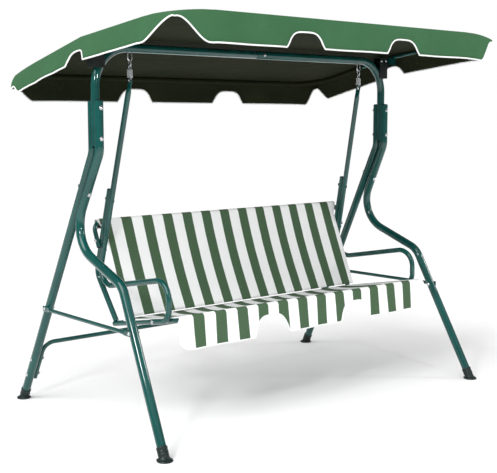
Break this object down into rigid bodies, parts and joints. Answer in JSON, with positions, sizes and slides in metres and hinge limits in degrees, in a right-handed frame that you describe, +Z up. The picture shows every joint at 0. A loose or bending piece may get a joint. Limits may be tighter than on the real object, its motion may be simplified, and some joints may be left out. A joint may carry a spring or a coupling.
{
  "type": "canopy swing bench",
  "caption": "Free-standing tube-frame swing bench with a sprung fabric seat and back under a tilting fabric canopy.",
  "frame": {"origin": "on the ground, below the middle of the crossbar", "axes": "+X to the right seen from the front, -Y towards the front, +Z up"},
  "size_m": [1.769, 1.142, 1.5308],
  "materials": {
    "teal_paint": "gloss powder coat, dark teal",
    "zinc_steel": "bright zinc plated",
    "rubber": "matt dark",
    "canopy_cloth": "woven polyester, green with white piping",
    "seat_cloth": "woven, white with green stripes",
    "dark_plastic": "matt dark green-black"
  },
  "bodies": {
    "frame": {"crossbar_left": "teal_paint", "crossbar_right": "teal_paint", "crossbar_bolt": "zinc_steel", "front_leg_left": "teal_paint", "front_leg_right": "teal_paint", "rear_leg_left": "teal_paint", "rear_leg_right": "teal_paint", "foot_cap_front_left": "rubber", "foot_cap_front_right": "rubber", "foot_cap_rear_left": "rubber", "foot_cap_rear_right": "rubber", "leg_bolt_left_1": "zinc_steel", "leg_bolt_left_2": "zinc_steel", "leg_bolt_left_3": "zinc_steel", "leg_bolt_right_1": "zinc_steel", "leg_bolt_right_2": "zinc_steel", "leg_bolt_right_3": "zinc_steel", "rear_stretcher": "teal_paint", "stretcher_bolt_left_1": "zinc_steel", "stretcher_bolt_left_2": "zinc_steel", "stretcher_bolt_right_1": "zinc_steel", "stretcher_bolt_right_2": "zinc_steel", "side_brace_left": "teal_paint", "side_brace_right": "teal_paint", "brace_bolt_left_front": "zinc_steel", "brace_bolt_left_rear": "zinc_steel", "brace_bolt_right_front": "zinc_steel", "brace_bolt_right_rear": "zinc_steel", "canopy_bracket_left": "dark_plastic", "canopy_bracket_right": "dark_plastic", "suspension_eye_left": "zinc_steel", "suspension_eye_right": "zinc_steel"},
    "canopy": {"canopy_cloth": "canopy_cloth", "canopy_tube_front": "teal_paint", "canopy_tube_rear": "teal_paint", "canopy_plate_left": "teal_paint", "canopy_plate_right": "teal_paint", "tilt_bolt_left": "zinc_steel", "tilt_bolt_right": "zinc_steel"},
    "suspension": {"suspension_link_left": "zinc_steel", "suspension_link_right": "zinc_steel", "suspension_spring_left": "zinc_steel", "suspension_spring_right": "zinc_steel"},
    "seat": {"hanger_arm_left": "teal_paint", "hanger_arm_right": "teal_paint", "back_side_tube_left": "teal_paint", "back_side_tube_right": "teal_paint", "hanger_bolt_left_1": "zinc_steel", "hanger_bolt_left_2": "zinc_steel", "hanger_bolt_right_1": "zinc_steel", "hanger_bolt_right_2": "zinc_steel", "seat_frame_tube": "teal_paint", "seat_rear_bar": "teal_paint", "back_top_tube": "teal_paint", "back_top_bolt_left": "zinc_steel", "back_top_bolt_right": "zinc_steel", "arm_bolt_left": "zinc_steel", "arm_bolt_right": "zinc_steel", "seat_cloth": "seat_cloth", "back_cloth": "seat_cloth"}
  },
  "joints": [
    {"name": "canopy_tilt", "type": "hinge", "parent": "frame", "child": "canopy", "pos_m": [0, 0, 1.436], "axis": [1, 0, 0], "range_deg": [-12, 12]},
    {"name": "seat_swing", "type": "hinge", "parent": "frame", "child": "suspension", "pos_m": [0, 0, 1.3885], "axis": [1, 0, 0], "range_deg": [-25, 25]},
    {"name": "seat_bounce", "type": "slide", "parent": "suspension", "child": "seat", "axis": [0, 0, 1], "range_m": [-0.03, 0], "stiffness_N_per_m": 9000, "springref_m": 0.03, "deforming": ["suspension_spring_left", "suspension_spring_right"]}
  ]
}
